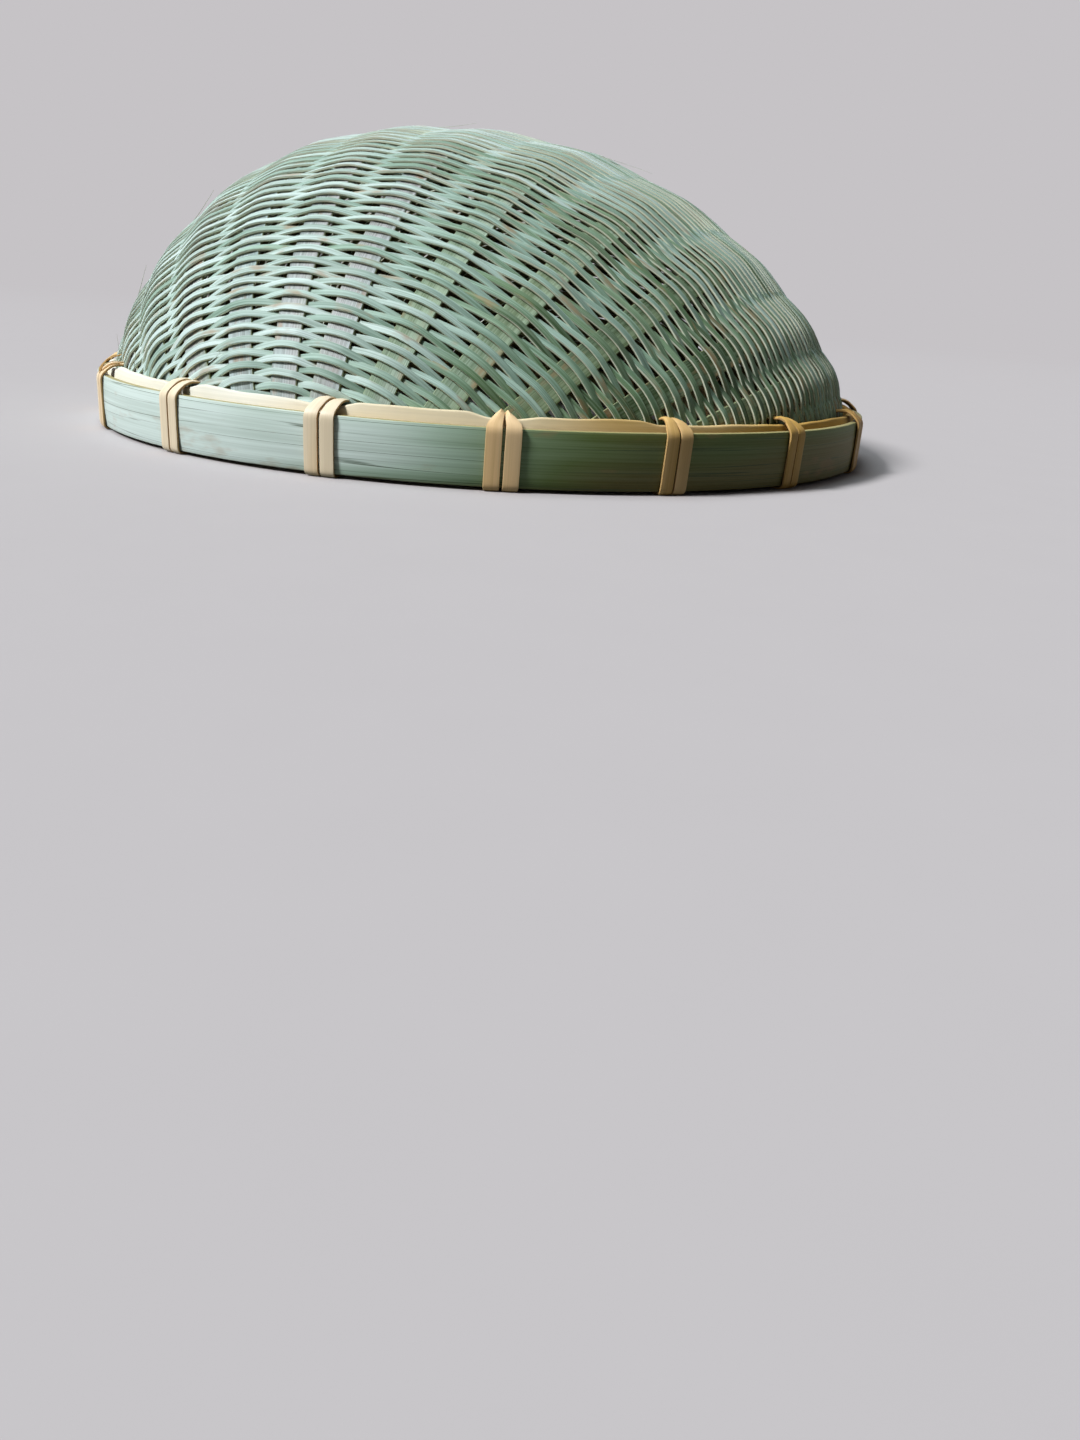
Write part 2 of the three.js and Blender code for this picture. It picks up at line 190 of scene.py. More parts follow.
# Camera, where the photograph was taken from, in its pixels and in radians
FOCAL_PX = 1120.0
PICTURE_PX = (1080.0, 1440.0)
AIM_PX = (486.188, 426.594)
ELEVATION = 0.114658
ROLL = 0.0473937
DISTANCE = 514.36
TURN = math.radians(23.75)
SENSOR = 36.0

# Distances in metres from the middle, between which the floor fades into the backdrop
FADE = (0.4, 2.2)


class Sock:
    """A socket in a node tree. Sums and products of sockets add Math nodes."""

    def __init__(self, tree, socket=None):
        self.tree = tree
        self.socket = socket

    def node(self, kind, settings=None, inputs=None, output=0):
        """Any node, with its settings and inputs. The stops are those of a colour ramp."""
        made = self.tree.nodes.new(kind)
        for name, value in (settings or {}).items():
            if name == "stops":
                ramp = made.color_ramp
                while len(ramp.elements) < len(value):
                    ramp.elements.new(0.5)
                for element, (place, colour) in zip(ramp.elements, value):
                    element.position = place
                    element.color = (*colour, 1)
            else:
                setattr(made, name, value)
        for name, value in (inputs or {}).items():
            if isinstance(value, Sock):
                self.tree.links.new(value.socket, made.inputs[name])
            else:
                made.inputs[name].default_value = value
        return Sock(self.tree, made.outputs[output])

    def math(self, operation, *others):
        """A Math node that has this socket first."""
        return self.node("ShaderNodeMath", {"operation": operation}, dict(enumerate((self, *others))))

    def __add__(self, other):
        return self.math("ADD", other)

    def __sub__(self, other):
        return self.math("SUBTRACT", other)

    def __mul__(self, other):
        return self.math("MULTIPLY", other)

    def __truediv__(self, other):
        return self.math("DIVIDE", other)

    def __rsub__(self, other):
        return self.node("ShaderNodeMath", {"operation": "SUBTRACT"}, {0: other, 1: self})

    __radd__ = __add__
    __rmul__ = __mul__

    def absolute(self):
        """This socket without its sign."""
        return self.math("ABSOLUTE")

    def clamp(self):
        """This socket, kept between 0 and 1."""
        return self.node("ShaderNodeClamp", None, {0: self})

    def ease(self, low, high):
        """Rises smoothly from 0 at low to 1 at high."""
        settings = {"interpolation_type": "SMOOTHSTEP"}
        return self.node("ShaderNodeMapRange", settings, {0: self, 1: low, 2: high, 3: 0.0, 4: 1.0})

    def blend(self, kind, share, first, second):
        """Two colours blended. Sockets 0, 6 and 7 are the Mix node's factor and its colours."""
        settings = {"data_type": "RGBA", "clamp_factor": True, "blend_type": kind}
        return self.node("ShaderNodeMix", settings, {0: share, 6: first, 7: second}, 2)

    def mix(self, first, second):
        """This socket as a share: 0 gives the first colour, 1 the second."""
        return self.blend("MIX", self, first, second)


def rgb(red, green, blue):
    """A colour written as it looks on a screen, 0 to 255, as Blender's linear values."""
    def linear(value):
        value /= 255
        return value / 12.92 if value <= 0.04045 else ((value + 0.055) / 1.055) ** 2.4
    return (linear(red), linear(green), linear(blue), 1.0)


BACKDROP = rgb(198, 195, 198)
FLOOR_DARK = rgb(193, 185, 186)
FLOOR_PALE = rgb(195, 187, 188)
FLOOR_BOUNCE = rgb(98, 100, 96)
SOFT_LIGHT = rgb(236, 240, 245)
STREAK_DARK = rgb(120, 132, 110)
STREAK_PALE = rgb(150, 166, 154)
VEIN = rgb(58, 76, 48)
STAIN = rgb(172, 134, 96)


def attribute(start, name):
    """A number that the mesh carries at every point."""
    return start.node("ShaderNodeAttribute", {"attribute_name": name}, output="Fac")


def noise(start, vector, scale, detail=2.0, roughness=0.5):
    inputs = {"Vector": vector, "Scale": scale, "Detail": detail, "Roughness": roughness}
    return start.node("ShaderNodeTexNoise", {"noise_dimensions": "3D"}, inputs)


def bamboo(name, skins, flesh, cut, fibre, rough, spots=0.0, coat=0.0, lines=0.0, fine=1.0, rim=0.5):
    """Split bamboo. Skins are the colours that the outer face of a strip may have, from pale to dark,
    flesh its inner face and cut its edges, which show by rim on the outer face. Fibre is how strongly
    the lengthwise streaks show, lines the thin dark ones, spots the stains, and fine is how fine the
    grain is.
    """
    material = bpy.data.materials.new(name)
    material.use_nodes = True
    tree = material.node_tree
    shader = tree.nodes["Principled BSDF"]
    start = Sock(tree)
    along = attribute(start, "along")
    across = attribute(start, "across")
    face = attribute(start, "face")
    strip = attribute(start, "strip")
    sideways = attribute(start, "sideways")
    tint = attribute(start, "tint")

    def grain(lengthwise, crosswise, shift):
        parts = {0: along * lengthwise, 1: sideways * crosswise, 2: strip * 7.31 + shift}
        return start.node("ShaderNodeCombineXYZ", None, parts)

    # How fine each noise is along and across the strip, per metre, and what sets it apart
    streaks = noise(start, grain(16, 2100 * fine, 0.0), 1.0, 3.0, 0.6)
    bands = noise(start, grain(6, 420 * fine, 3.7), 1.0, 2.0, 0.5)
    blotches = noise(start, grain(45, 150, 9.1), 1.0, 3.0, 0.6)
    drift = noise(start, grain(11, 60, 5.3), 1.0, 1.0, 0.5)

    pick = tint + (drift - 0.5) * 0.75
    count = len(skins)
    stops = [((i + 0.5) / count, skins[i][:3]) for i in range(count)]
    colour = start.node("ShaderNodeValToRGB", {"stops": stops}, {0: pick})
    streaky = (streaks * 0.55 + bands * 0.45).ease(0.36, 0.64)
    darker = start.blend("MULTIPLY", fibre, colour, STREAK_DARK)
    paler = start.blend("SCREEN", fibre * 0.8, colour, STREAK_PALE)
    colour = streaky.mix(darker, paler)
    if lines:
        vein = noise(start, grain(4, 330, 14.9), 1.0, 1.0, 0.5)
        thin = (1.0 - (vein - 0.5).absolute().ease(0.004, 0.016)) * lines
        colour = (thin * streaks.ease(0.35, 0.6)).mix(colour, VEIN)
    if spots:
        stain = blotches.ease(0.57, 0.70) * spots
        colour = stain.mix(colour, STAIN)
    border = across.absolute().ease(0.94, 0.999) * rim
    side = (1.0 - face.absolute()).ease(0.15, 0.6)
    edge = border.math("MAXIMUM", side)
    colour = edge.mix(colour, cut)
    inner = (face * -1.0).ease(0.1, 0.9)
    colour = inner.mix(colour, flesh)
    tree.links.new(colour.socket, shader.inputs["Base Color"])

    gloss = rough + (streaks - 0.5) * 0.25 + edge * 0.15 + tint * 0.3
    tree.links.new(gloss.socket, shader.inputs["Roughness"])
    height = streaks * 0.6 + bands * 0.4
    bump = start.node("ShaderNodeBump", None, {"Strength": 0.3, "Distance": 0.00015, "Height": height})
    tree.links.new(bump.socket, shader.inputs["Normal"])
    shader.inputs["Specular IOR Level"].default_value = 0.22
    shader.inputs["Coat Weight"].default_value = coat
    shader.inputs["Coat Roughness"].default_value = 0.45
    return material


hoop_skin = bamboo(
    "hoop_skin",
    [rgb(232, 246, 240), rgb(184, 208, 188), rgb(136, 162, 124), rgb(106, 124, 64), rgb(116, 106, 50)],
    flesh=rgb(206, 188, 140), cut=rgb(168, 156, 106), fibre=0.24, rough=0.4, spots=0.3, coat=0.15,
    lines=0.85, fine=0.8, rim=0.12,
)
inner_hoop_skin = bamboo(
    "inner_hoop_skin",
    [rgb(128, 146, 112), rgb(152, 160, 118), rgb(180, 172, 128)],
    flesh=rgb(200, 182, 136), cut=rgb(214, 200, 156), fibre=0.5, rough=0.45, spots=0.3, lines=0.4,
    fine=0.8,
)
filler_cream = bamboo(
    "filler_cream",
    [rgb(255, 248, 234), rgb(252, 230, 190), rgb(219, 174, 90), rgb(182, 134, 52)],
    flesh=rgb(232, 208, 160), cut=rgb(252, 240, 212), fibre=0.16, rough=0.5, spots=0.12, fine=0.6,
)
# The ribs' inner face is darker than split bamboo's: partly its own colour, partly painted shade under
# the weave
rib_skin = bamboo(
    "rib_skin",
    [rgb(178, 200, 202), rgb(186, 184, 188), rgb(166, 190, 164), rgb(148, 166, 122), rgb(82, 105, 62)],
    flesh=rgb(118, 110, 72), cut=rgb(176, 178, 132), fibre=0.5, rough=0.42, spots=0.6, coat=0.1,
    lines=0.5,
)
# The wefts' inner face and the inner half of their edges are darker than split bamboo's: partly their
# own colour, partly painted shade in the gaps of the weave
weft_skin = bamboo(
    "weft_skin",
    [rgb(214, 232, 228), rgb(198, 218, 211), rgb(171, 198, 186), rgb(146, 177, 158), rgb(118, 150, 108),
     rgb(66, 92, 50)],
    flesh=rgb(150, 132, 92), cut=rgb(226, 228, 208), fibre=0.52, rough=0.42, spots=0.6, coat=0.05,
)
# The lashing's inner face and the inner half of its edges are dark brown, which shows in the narrow gap
# between its two turns
lashing_tan = bamboo(
    "lashing_tan",
    [rgb(255, 232, 200), rgb(252, 208, 150), rgb(221, 172, 84), rgb(178, 132, 50)],
    flesh=rgb(112, 80, 42), cut=rgb(204, 162, 104), fibre=0.16, rough=0.4, spots=0.08, coat=0.25,
    fine=0.7,
)


def rise(height):
    """How far up the bowl a height is: 0 at the rim, 1 at the crown."""
    return np.clip((height - HOOP_TOP) / BOWL_DEPTH, 0, 1)


def bowl_radius(height):
    """The mat's radius at a height."""
    return MAT_RADIUS * (1 - rise(height) ** BOWL_SHOULDER) ** (1 / BOWL_FULLNESS)


def rib_pitch(height):
    """How far apart the middle ribs are at a height."""
    return RIM_PITCH + (CROWN_PITCH - RIM_PITCH) * (height - HOOP_TOP) / BOWL_DEPTH


class Mat:
    """The mat's middle surface, as lines that run where a rib could: a table of points and their
    distances from the middle of the bowl, for the front and the back half of each line.
    """

    SAMPLES = 260
    HALVINGS = 60
    FLOOR = CUT_HEIGHT - HIDDEN_REACH

    def __init__(self, positions):
        spread = positions * (1 + RIB_FAN * np.abs(positions))
        low = np.full(len(positions), self.FLOOR)
        high = np.full(len(positions), HOOP_TOP + BOWL_DEPTH)
        for _ in range(self.HALVINGS):
            middle = (low + high) / 2
            inside = np.abs(spread) * rib_pitch(middle) < bowl_radius(middle)
            low = np.where(inside, middle, low)
            high = np.where(inside, high, middle)
        share = np.linspace(0, 1, self.SAMPLES)[None, :] ** 2
        height = low[:, None] + (self.FLOOR - low[:, None]) * share
        x = spread[:, None] * rib_pitch(height)
        y = np.sqrt(np.maximum(bowl_radius(height) ** 2 - x ** 2, 0))
        lean = CROWN_LEAN * (rise(height) ** LEAN_CURVE)[..., None]
        self.halves = []
        for side in (-1, 1):
            points = np.stack([x + lean[..., 0], side * y + lean[..., 1], height], axis=-1)
            steps = np.linalg.norm(np.diff(points, axis=1), axis=2)
            length = np.concatenate([np.zeros((len(positions), 1)), np.cumsum(steps, axis=1)], axis=1)
            self.halves.append((points, length))

    def at(self, along):
        """Points for every line (first index) and every distance along it (second index)."""
        along = np.atleast_1d(np.asarray(along, float))
        lines = len(self.halves[0][0])
        found = np.empty((lines, len(along), 3))
        for line in range(lines):
            for side, (points, length) in enumerate(self.halves):
                chosen = (along < 0) if side == 0 else (along >= 0)
                distance = np.abs(along[chosen])
                for axis in range(3):
                    found[line, chosen, axis] = np.interp(
                        distance, length[line], points[line, :, axis], right=np.nan)
        return found

    def half_length(self, line, side):
        """From the middle of the bowl along a line to the cut, in front (side 0) or behind (side 1)."""
        points, length = self.halves[side]
        return float(np.interp(-CUT_HEIGHT, -points[line, :, 2], length[line]))


def unit(vectors):
    """The same directions, each of length 1."""
    return vectors / np.maximum(np.linalg.norm(vectors, axis=-1, keepdims=True), 1e-12)


def placed(name, data):
    """An object with these data, in the scene."""
    item = bpy.data.objects.new(name, data)
    bpy.context.scene.collection.objects.link(item)
    return item


GUIDE_MARKS = ("outward", "crownward", "rib_place", "rib_half", "held", "width_share", "strip", "tint")


def guide_lines(name, lines):
    """A mesh of edges only. Each line is a dict with its points and what is known at each point."""
    vertices, edges = [], []
    for line in lines:
        first = len(vertices)
        count = len(line["points"])
        vertices.extend((line["points"] * MM).tolist())
        edges.extend((first + i, first + i + 1) for i in range(count - 1))
    mesh = bpy.data.meshes.new(name)
    mesh.from_pydata(vertices, edges, [])
    for key in GUIDE_MARKS:
        values = np.concatenate([np.asarray(line[key], np.float32).reshape(-1) for line in lines])
        kind, field = ("FLOAT_VECTOR", "vector") if key.endswith("ward") else ("FLOAT", "value")
        mesh.attributes.new(key, kind, "POINT").data.foreach_set(field, values)
    return placed(name, mesh)


def strip_tree():
    """Split strips along guide lines, raised over one rib and sunk under the next."""
    tree = bpy.data.node_groups.new("split_strips", "GeometryNodeTree")
    kinds = {"Guides": "NodeSocketGeometry", "Finish": "NodeSocketMaterial"}
    sockets = {}
    for name in ("Guides", "Width", "Thickness", "Edge rounding", "Lift", "Arch", "Plateau", "Softness",
                 "Rise", "Finish"):
        kind = kinds.get(name, "NodeSocketFloat")
        sockets[name] = tree.interface.new_socket(name, in_out="INPUT", socket_type=kind)
    tree.interface.new_socket("Strips", in_out="OUTPUT", socket_type="NodeSocketGeometry")
    group = tree.nodes.new("NodeGroupInput")
    given = {name: Sock(tree, group.outputs[name]) for name in sockets}
    start = Sock(tree)

    def known(name, kind="FLOAT"):
        return start.node("GeometryNodeInputNamedAttribute", {"data_type": kind}, {"Name": name})

    def store(geometry, name, value, kind="FLOAT", domain="POINT"):
        return start.node("GeometryNodeStoreNamedAttribute", {"data_type": kind, "domain": domain},
                          {"Geometry": geometry, "Name": name, "Value": value})

    line = start.node("GeometryNodeMeshToCurve", None, {"Mesh": given["Guides"]})
    place = known("rib_place")
    half = known("rib_half")
    past = place.math("FRACT")
    row = place.math("FLOOR") + known("strip")
    side = 1.0 - 2.0 * row.math("FLOORED_MODULO", 2.0)
    reach = half * given["Plateau"]
    share = ((past - reach) / (1.0 - reach * 2.0)).clamp()
    eased = share * (1.0 - given["Softness"]) + share.ease(0.0, 1.0) * given["Softness"]
    swing = 1.0 - 2.0 * eased
    near = past.math("MINIMUM", 1.0 - past) / half
    arch = (1.0 - near * near).math("MAXIMUM", 0.0) * given["Arch"]
    lift = side * swing * (given["Lift"] + arch) * known("held")
    outward = known("outward", "FLOAT_VECTOR")
    offset = start.node("ShaderNodeVectorMath", {"operation": "SCALE"}, {0: outward, "Scale": lift})
    aside = start.node("ShaderNodeVectorMath", {"operation": "SCALE"},
                       {0: known("crownward", "FLOAT_VECTOR"), "Scale": lift * given["Rise"]})
    offset = start.node("ShaderNodeVectorMath", {"operation": "ADD"}, {0: offset, 1: aside})
    line = start.node("GeometryNodeSetPosition", None, {"Geometry": line, "Offset": offset})
    line = start.node("GeometryNodeSetCurveNormal", {"mode": "FREE"}, {"Curve": line, "Normal": outward})
    length = start.node("GeometryNodeSplineParameter", output="Length")
    line = store(line, "along", length)

    section = start.node("GeometryNodeCurvePrimitiveQuadrilateral", {"mode": "RECTANGLE"},
                         {"Width": given["Thickness"], "Height": given["Width"]})
    section = start.node("GeometryNodeFilletCurve", {"mode": "POLY"},
                         {"Curve": section, "Count": 1, "Radius": given["Edge rounding"]})
    spot = start.node("GeometryNodeInputPosition")
    across = start.node("ShaderNodeSeparateXYZ", None, {0: spot}, "Y")
    up = start.node("ShaderNodeSeparateXYZ", None, {0: spot}, "X")
    section = store(section, "sideways", across)
    section = store(section, "across", across / given["Width"] * 2.0)
    section = store(section, "face", up / given["Thickness"] * 2.0)

    strips = start.node("GeometryNodeCurveToMesh", None,
                        {"Curve": line, "Profile Curve": section, "Scale": known("width_share"),
                         "Fill Caps": True})
    strips = start.node("GeometryNodeSetShadeSmooth", None, {"Geometry": strips})
    angle = start.node("GeometryNodeInputMeshEdgeAngle")
    sharp = start.node("FunctionNodeCompare", {"data_type": "FLOAT", "operation": "GREATER_THAN"},
                       {0: angle, 1: 0.5})
    strips = store(strips, "sharp_edge", sharp, "BOOLEAN", "EDGE")
    strips = start.node("GeometryNodeRealizeInstances", None, {"Geometry": strips})
    strips = start.node("GeometryNodeSetMaterial", None,
                        {"Geometry": strips, "Material": given["Finish"]})
    out = tree.nodes.new("NodeGroupOutput")
    tree.links.new(strips.socket, out.inputs[0])
    return tree, {name: socket.identifier for name, socket in sockets.items()}


STRIPS, STRIP_INPUTS = strip_tree()


def make_strips(name, lines, sizes, finish):
    """Runs the strip tree on guide lines and keeps the result as a plain mesh."""
    guides = guide_lines(name + "_guides", lines)
    modifier = guides.modifiers.new("strips", "NODES")
    modifier.node_group = STRIPS
    for key, value in sizes.items():
        modifier[STRIP_INPUTS[key]] = value
    modifier[STRIP_INPUTS["Finish"]] = finish
    bpy.context.view_layer.update()
    seen = guides.evaluated_get(bpy.context.evaluated_depsgraph_get())
    mesh = bpy.data.meshes.new_from_object(seen)
    guides.modifiers.remove(modifier)
    bpy.data.objects.remove(guides)
    mesh.name = name
    return placed(name, mesh)


def trim_level(mesh, height):
    """Cuts a strip off level, as its maker trims it below the rim, and closes the cut."""
    shape = bmesh.new()
    shape.from_mesh(mesh)
    everything = shape.verts[:] + shape.edges[:] + shape.faces[:]
    cut = bmesh.ops.bisect_plane(shape, geom=everything, plane_co=(0, 0, height),
                                 plane_no=(0, 0, -1), clear_outer=True)
    open_edges = [part for part in cut["geom_cut"] if isinstance(part, bmesh.types.BMEdge)]
    bmesh.ops.edgeloop_fill(shape, edges=open_edges)
    shape.to_mesh(mesh)
    shape.free()


def belongs(piece, node):
    """Tells the frame which node a piece stands for. The whole basket is one body."""
    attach(piece, "root")
    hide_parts(node)


# The weave
rng = np.random.default_rng(7)
positions = np.arange(-WIDEST, WIDEST + STEP / 2, STEP)
mat = Mat(positions)
rib_positions = np.arange(RIB_COUNT) - (RIB_COUNT - 1) / 2 + RIB_OFFSET


def wander(values, size, length, seed):
    """A smooth random drift along values, about this large and this long."""
    local = np.random.default_rng(seed)
    total = np.zeros(len(values))
    for octave in (1.0, 2.3):
        phase = local.uniform(0, 2 * math.pi)
        total += np.sin(values * 2 * math.pi * octave / length + phase) / octave
    return total * size * 0.6


def weft_line(number):
    """One weft, from its cut end at one side of the rim to that at the other, with its small
    unevennesses. It gives nothing where the weft would lie outside the rim.
    """
    middle = (number - (BAND_COUNT * WEFTS_PER_BAND - 1) / 2) * WEFT_PITCH
    beside = 0.6
    shift = rng.normal(0, 0.12)
    points = mat.at(middle + shift)[:, 0]
    ahead = mat.at(middle + shift + beside)[:, 0]
    behind = mat.at(middle + shift - beside)[:, 0]
    good = np.isfinite(points).all(1) & np.isfinite(ahead).all(1) & np.isfinite(behind).all(1)
    good &= np.nan_to_num(points[:, 2], nan=-99) > CUT_HEIGHT
    if good.sum() < FEWEST_POINTS:
        return None
    chosen = np.flatnonzero(good)
    points, ahead, behind = points[chosen], ahead[chosen], behind[chosen]
    place = positions[chosen]
    tangent = unit(np.gradient(points, axis=0))
    across = (ahead - behind) / (2 * beside)
    across -= (across * tangent).sum(1, keepdims=True) * tangent
    across = unit(across)
    outward = np.cross(tangent, across)
    points = points + across * wander(place, 0.17, 3.1, number)[:, None]
    tilt = rng.normal(0, 0.07) + wander(place, 0.1, 2.3, number + 1000)
    crownward = across if middle < 0 else -across
    front = min(max(-middle / 55, 0), 1)
    behind_crown = min(max(middle / 40 + 0.3, 0), 1)
    outward = unit(outward + across * tilt[:, None] + crownward * WEFT_ROLL * front)
    pace = np.linalg.norm(np.gradient(points, axis=0), axis=1) / STEP
    spot = place - rib_positions[0]
    held = np.clip((spot + 0.75) / 0.4, 0, 1) * np.clip((RIB_COUNT - 0.25 - spot) / 0.4, 0, 1)
    width_share = 0.98 + 0.06 * behind_crown + rng.normal(0, 0.045)
    # Wefts over the crown are made paler, a painted light from above, and all get darker and greener
    # towards the right, partly their own tone and partly painted shade
    tint = rng.beta(2, 2) * 0.5 + 0.1 - 0.16 * math.exp(-(middle / 50) ** 2)
    tint = tint + 0.035 * place + 0.07 * np.maximum(place - 0.5, 0)
    return {
        "points": points,
        "outward": outward,
        "crownward": crownward * (1 - 2.3 * behind_crown),
        "rib_place": spot,
        "rib_half": np.clip(RIB_WIDTH / 2 / pace, 0.05, 0.45),
        "held": held * (1 + wander(place, 0.14, 2.2, number + 3000)),
        "width_share": width_share * (1 + wander(place, 0.04, 4.0, number + 2000)),
        "strip": np.full(len(points), float(number)),
        "tint": np.clip(tint, 0.02, 0.95),
    }


def loose_fibre(line, weft, place, reach, rise_off, drift):
    """A sliver that has come off a weft: a thin line that leaves it and tapers."""
    chosen = np.flatnonzero((line["rib_place"] >= place) & (line["rib_place"] <= place + reach))
    share = np.linspace(0, 1, len(chosen))[:, None]
    outward, crownward = line["outward"][chosen], line["crownward"][chosen]
    off = outward * (WEFT_LIFT + 0.3 + rise_off * share ** 1.6) + crownward * drift * share ** 2
    return {
        "points": line["points"][chosen] + off,
        "outward": outward,
        "crownward": crownward,
        "rib_place": line["rib_place"][chosen],
        "rib_half": line["rib_half"][chosen],
        "held": np.zeros(len(chosen)),
        "width_share": 0.22 - 0.15 * share,
        "strip": np.full(len(chosen), FIBRE_GRAIN + weft),
        "tint": np.full(len(chosen), 0.15),
    }


def make_band(band):
    """Seven neighbouring wefts, with the fibres that stand off them."""
    numbers = range(band * WEFTS_PER_BAND, (band + 1) * WEFTS_PER_BAND)
    followed = {number: weft_line(number) for number in numbers}
    lines = [line for line in followed.values() if line]
    for weft, *lay in LOOSE_FIBRES:
        if followed.get(weft):
            lines.append(loose_fibre(followed[weft], weft, *lay))
    sizes = {"Width": WEFT_WIDTH * MM, "Thickness": WEFT_THICKNESS * MM,
             "Edge rounding": WEFT_EDGE * MM, "Lift": WEFT_LIFT * MM, "Arch": WEFT_ARCH * MM,
             "Plateau": WEFT_PLATEAU, "Softness": WEFT_SOFTNESS, "Rise": WEFT_RISE}
    piece = make_strips(f"wefts_{band + 1:02d}", lines, sizes, weft_skin)
    belongs(piece, f"weft_band_{band + 1:02d}")


def make_rib(index):
    """A flat strip from front to back over the bowl, cut level below the rim. It isn't lifted."""
    beside, gap = 0.05, 1.6
    place = rib_positions[index]
    lines = Mat(np.array([place - beside, place, place + beside]))
    reach = [lines.half_length(1, side) + RIB_WIDTH for side in (0, 1)]
    along = np.linspace(-reach[0], reach[1], int(sum(reach) / gap))
    left, points, right = lines.at(along)
    tangent = unit(np.gradient(points, axis=0))
    outward = unit(np.cross(right - left, tangent))
    count = len(points)
    line = {
        "points": points,
        "outward": outward,
        "crownward": outward,
        "rib_place": np.zeros(count),
        "rib_half": np.full(count, 0.3),
        "held": np.zeros(count),
        "width_share": 1 + wander(along, 0.012, 130.0, index),
        "strip": np.full(count, RIB_GRAIN + index),
        "tint": np.full(count, RIB_TINTS[index]),
    }
    sizes = {"Width": RIB_WIDTH * MM, "Thickness": RIB_THICKNESS * MM, "Edge rounding": RIB_EDGE * MM}
    piece = make_strips(f"rib_{index + 1:02d}_strip", [line], sizes, rib_skin)
    trim_level(piece.data, CUT_HEIGHT * MM)
    belongs(piece, f"rib_{index + 1:02d}")


for band in range(BAND_COUNT):
    make_band(band)
for index in range(RIB_COUNT):
    make_rib(index)


def outward_faces(mesh, smooth_angle):
    """Turns every face outwards and shades smoothly over edges that bend by less than an angle."""
    shape = bmesh.new()
    shape.from_mesh(mesh)
    bmesh.ops.recalc_face_normals(shape, faces=shape.faces)
    if shape.calc_volume(signed=True) < 0:
        bmesh.ops.reverse_faces(shape, faces=shape.faces)
    for face in shape.faces:
        face.smooth = True
    for edge in shape.edges:
        edge.smooth = len(edge.link_faces) == 2 and edge.calc_face_angle(0) < smooth_angle
    shape.to_mesh(mesh)
    shape.free()


class Loft:
    """Closed bodies, each made of rings of points, with what the finish reads at every point."""

    def __init__(self):
        self.bodies = [[]]
        self.marks = {}

    def ring(self, points, **marks):
        """Adds a ring to the last body. A mark is one number for the ring, or one for each point."""
        self.bodies[-1].append(points)
        for key, value in marks.items():
            values = np.broadcast_to(np.asarray(value, np.float32), len(points))
            self.marks.setdefault(key, []).append(values)

    def piece(self, name, finish, smooth_angle):
        """Joins the rings of each body, closes its ends, and makes one piece of all bodies."""
        vertices, faces = [], []
        for rings in self.bodies:
            first = len(vertices)
            sides = len(rings[0])
            vertices.extend((np.concatenate(rings) * MM).tolist())
            for i in range(len(rings) - 1):
                for j in range(sides):
                    a, b = first + i * sides + j, first + i * sides + (j + 1) % sides
                    faces.append((a, b, b + sides, a + sides))
            faces.append(tuple(range(first, first + sides))[::-1])
            faces.append(tuple(range(len(vertices) - sides, len(vertices))))
        mesh = bpy.data.meshes.new(name)
        mesh.from_pydata(vertices, [], faces)
        for key, values in self.marks.items():
            mark = mesh.attributes.new(key, "FLOAT", "POINT")
            mark.data.foreach_set("value", np.concatenate(values))
        mesh.materials.append(finish)
        mesh.validate()
        outward_faces(mesh, smooth_angle)
        return placed(name, mesh)


def smooth(share):
    """Eases from 0 at 0 to 1 at 1, and stays flat beyond."""
    share = min(max(share, 0), 1)
    return share * share * (3 - 2 * share)


def polar(radius, angle, height):
    """Points round the middle, at an angle from -Y towards +X."""
    return np.stack([radius * np.sin(angle), -radius * np.cos(angle), height], axis=-1)


def hoop_section(inner, outer, low, high, bulge, corner=0.45, steps=9):
    """A hoop's section, round from the inner face: radius, height, how far it is across the strip
    (-1 to 1), and how far it is on the outer face (1) or the inner (-1).
    """
    spots = []
    for share in (0.0, 0.25, 0.5, 0.75, 1.0):
        spots.append((inner, low + corner + (high - low - 2 * corner) * share, share * 2 - 1, -1.0))
    spots.append((inner + corner * 0.3, high - corner * 0.3, 1.0, -0.5))
    spots.append((inner + corner, high, 1.0, -0.2))
    crest = outer - bulge
    spots.append((crest - corner, high, 1.0, 0.2))
    spots.append((crest - corner * 0.3, high - corner * 0.3, 1.0, 0.9))
    for share in np.linspace(1, 0, steps):
        height = low + corner + (high - low - 2 * corner) * share
        swell = bulge * (1 - (2 * share - 1) ** 2)
        spots.append((crest + swell, height, share * 2 - 1, 1.0))
    spots.append((crest - corner * 0.3, low + corner * 0.3, -1.0, 0.9))
    spots.append((crest - corner, low, -1.0, 0.2))
    spots.append((inner + corner, low, -1.0, -0.2))
    spots.append((inner + corner * 0.3, low + corner * 0.3, -1.0, -0.5))
    return np.array(spots).T


